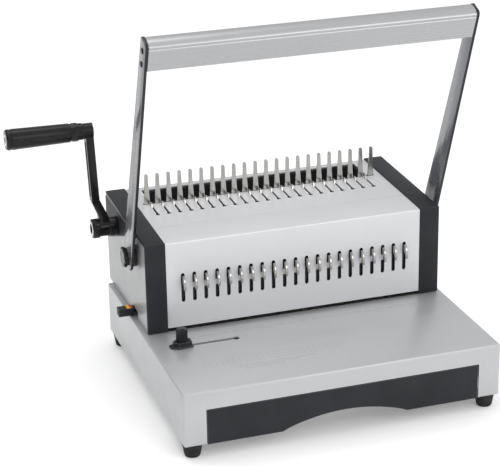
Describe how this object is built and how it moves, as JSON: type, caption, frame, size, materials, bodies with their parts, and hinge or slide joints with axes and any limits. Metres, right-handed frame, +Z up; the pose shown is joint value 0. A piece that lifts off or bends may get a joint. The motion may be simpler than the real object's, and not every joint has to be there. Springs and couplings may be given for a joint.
{
  "type": "comb binding machine",
  "caption": "Desk-top comb binding machine: slotted punch with U-shaped pull handle, side crank for opening combs, upright tines and chip drawer.",
  "frame": {"origin": "centre of the bounding box footprint, on the surface the feet stand on", "axes": "+X to the user's right along the row of punches, -Y towards the user, +Z up"},
  "size_m": [0.5254, 0.3574, 0.4681],
  "materials": {
    "silver_paint": "satin metallic silver",
    "charcoal_plastic": "fine-grained charcoal",
    "black_paint": "gloss black",
    "black_plastic": "semi-gloss black",
    "black_rubber": "matte black",
    "bright_steel": "bright plated",
    "anodised_aluminium": "satin anodised"
  },
  "bodies": {
    "machine": {"base_cover": "silver_paint", "base_plate": "silver_paint", "foot_front_left": "black_rubber", "foot_front_right": "black_rubber", "foot_rear_left": "black_rubber", "foot_rear_right": "black_rubber", "side_plate_left": "silver_paint", "side_plate_right": "silver_paint", "end_cap_left": "charcoal_plastic", "end_cap_right": "charcoal_plastic", "front_cover": "silver_paint", "top_plate": "silver_paint", "frame_left": "bright_steel", "frame_right": "bright_steel", "die_plate": "bright_steel", "punch_guide": "bright_steel", "tine_plate": "bright_steel", "comb_channel": "charcoal_plastic"},
    "handle": {"handle_arm_left": "black_paint", "handle_arm_right": "black_paint", "handle_bar": "anodised_aluminium", "handle_shaft": "bright_steel", "pivot_knob_left": "black_plastic", "pivot_knob_right": "black_plastic", "pivot_spacer_left": "black_paint", "pivot_spacer_right": "black_paint"},
    "punches": {"punch_bar": "bright_steel", "punch_row": "bright_steel"},
    "crank": {"crank_shaft": "bright_steel", "crank_hub": "black_paint", "crank_arm": "black_paint"},
    "grip": {"crank_grip": "black_plastic"},
    "hooks": {"hook_plate": "bright_steel"},
    "drawer": {"chip_drawer": "charcoal_plastic", "drawer_front": "charcoal_plastic"},
    "guide": {"edge_guide": "charcoal_plastic"},
    "guide_clamp": {"guide_knob": "black_plastic"},
    "margin_lever": {"depth_lever": "charcoal_plastic"},
    "paper_stop": {"margin_stop": "charcoal_plastic"},
    "selector_01": {"die_selector_01": "bright_steel"},
    "selector_02": {"die_selector_02": "bright_steel"},
    "selector_03": {"die_selector_03": "bright_steel"},
    "selector_04": {"die_selector_04": "bright_steel"},
    "selector_05": {"die_selector_05": "bright_steel"},
    "selector_06": {"die_selector_06": "bright_steel"},
    "selector_07": {"die_selector_07": "bright_steel"},
    "selector_08": {"die_selector_08": "bright_steel"},
    "selector_09": {"die_selector_09": "bright_steel"},
    "selector_10": {"die_selector_10": "bright_steel"},
    "selector_11": {"die_selector_11": "bright_steel"},
    "selector_12": {"die_selector_12": "bright_steel"},
    "selector_13": {"die_selector_13": "bright_steel"},
    "selector_14": {"die_selector_14": "bright_steel"},
    "selector_15": {"die_selector_15": "bright_steel"},
    "selector_16": {"die_selector_16": "bright_steel"},
    "selector_17": {"die_selector_17": "bright_steel"},
    "selector_18": {"die_selector_18": "bright_steel"},
    "selector_19": {"die_selector_19": "bright_steel"},
    "selector_20": {"die_selector_20": "bright_steel"},
    "selector_21": {"die_selector_21": "bright_steel"}
  },
  "joints": [
    {"name": "handle_pull", "type": "hinge", "parent": "machine", "child": "handle", "pos_m": [0.05835, 0.03925, 0.168], "axis": [1, 0, 0], "range_deg": [0, 70], "stiffness_Nm_per_rad": 2.5, "springref_deg": -91.67},
    {"name": "punch_stroke", "type": "slide", "parent": "machine", "child": "punches", "axis": [0, 0, -1], "range_m": [0, 0.0147]},
    {"name": "selector_01_pull", "type": "slide", "parent": "punches", "child": "selector_01", "axis": [0, -1, 0], "range_m": [0, 0.008]},
    {"name": "selector_02_pull", "type": "slide", "parent": "punches", "child": "selector_02", "axis": [0, -1, 0], "range_m": [0, 0.008]},
    {"name": "selector_03_pull", "type": "slide", "parent": "punches", "child": "selector_03", "axis": [0, -1, 0], "range_m": [0, 0.008]},
    {"name": "selector_04_pull", "type": "slide", "parent": "punches", "child": "selector_04", "axis": [0, -1, 0], "range_m": [0, 0.008]},
    {"name": "selector_05_pull", "type": "slide", "parent": "punches", "child": "selector_05", "axis": [0, -1, 0], "range_m": [0, 0.008]},
    {"name": "selector_06_pull", "type": "slide", "parent": "punches", "child": "selector_06", "axis": [0, -1, 0], "range_m": [0, 0.008]},
    {"name": "selector_07_pull", "type": "slide", "parent": "punches", "child": "selector_07", "axis": [0, -1, 0], "range_m": [0, 0.008]},
    {"name": "selector_08_pull", "type": "slide", "parent": "punches", "child": "selector_08", "axis": [0, -1, 0], "range_m": [0, 0.008]},
    {"name": "selector_09_pull", "type": "slide", "parent": "punches", "child": "selector_09", "axis": [0, -1, 0], "range_m": [0, 0.008]},
    {"name": "selector_10_pull", "type": "slide", "parent": "punches", "child": "selector_10", "axis": [0, -1, 0], "range_m": [0, 0.008]},
    {"name": "selector_11_pull", "type": "slide", "parent": "punches", "child": "selector_11", "axis": [0, -1, 0], "range_m": [0, 0.008]},
    {"name": "selector_12_pull", "type": "slide", "parent": "punches", "child": "selector_12", "axis": [0, -1, 0], "range_m": [0, 0.008]},
    {"name": "selector_13_pull", "type": "slide", "parent": "punches", "child": "selector_13", "axis": [0, -1, 0], "range_m": [0, 0.008]},
    {"name": "selector_14_pull", "type": "slide", "parent": "punches", "child": "selector_14", "axis": [0, -1, 0], "range_m": [0, 0.008]},
    {"name": "selector_15_pull", "type": "slide", "parent": "punches", "child": "selector_15", "axis": [0, -1, 0], "range_m": [0, 0.008]},
    {"name": "selector_16_pull", "type": "slide", "parent": "punches", "child": "selector_16", "axis": [0, -1, 0], "range_m": [0, 0.008]},
    {"name": "selector_17_pull", "type": "slide", "parent": "punches", "child": "selector_17", "axis": [0, -1, 0], "range_m": [0, 0.008]},
    {"name": "selector_18_pull", "type": "slide", "parent": "punches", "child": "selector_18", "axis": [0, -1, 0], "range_m": [0, 0.008]},
    {"name": "selector_19_pull", "type": "slide", "parent": "punches", "child": "selector_19", "axis": [0, -1, 0], "range_m": [0, 0.008]},
    {"name": "selector_20_pull", "type": "slide", "parent": "punches", "child": "selector_20", "axis": [0, -1, 0], "range_m": [0, 0.008]},
    {"name": "selector_21_pull", "type": "slide", "parent": "punches", "child": "selector_21", "axis": [0, -1, 0], "range_m": [0, 0.008]},
    {"name": "crank_turn", "type": "hinge", "parent": "machine", "child": "crank", "pos_m": [0.05835, 0.12425, 0.176], "axis": [1, 0, 0], "range_deg": [0, 90]},
    {"name": "hook_stroke", "type": "slide", "parent": "machine", "child": "hooks", "axis": [0, -1, 0], "range_m": [0, 0.0189]},
    {"name": "grip_spin", "type": "hinge", "parent": "crank", "child": "grip", "pos_m": [-0.26265, 0.12425, 0.304], "axis": [1, 0, 0], "continuous": true},
    {"name": "drawer_slide", "type": "slide", "parent": "machine", "child": "drawer", "axis": [0, -1, 0], "range_m": [0, 0.2]},
    {"name": "edge_guide_slide", "type": "slide", "parent": "machine", "child": "guide", "axis": [1, 0, 0], "range_m": [0, 0.06]},
    {"name": "guide_knob_turn", "type": "hinge", "parent": "guide", "child": "guide_clamp", "pos_m": [-0.10065, -0.05375, 0.0903], "axis": [0, 0, 1], "range_deg": [0, 180]},
    {"name": "margin_lever_slide", "type": "slide", "parent": "machine", "child": "margin_lever", "axis": [0, -1, 0], "range_m": [0, 0.014]},
    {"name": "paper_stop_shift", "type": "slide", "parent": "machine", "child": "paper_stop", "axis": [0, -1, 0], "range_m": [0, 0.0028]}
  ],
  "couplings": [
    {"joint": "punch_stroke", "follows": "handle_pull", "m_per_rad": 0.012},
    {"joint": "hook_stroke", "follows": "crank_turn", "m_per_rad": 0.012},
    {"joint": "paper_stop_shift", "follows": "margin_lever_slide", "ratio": 0.2}
  ]
}
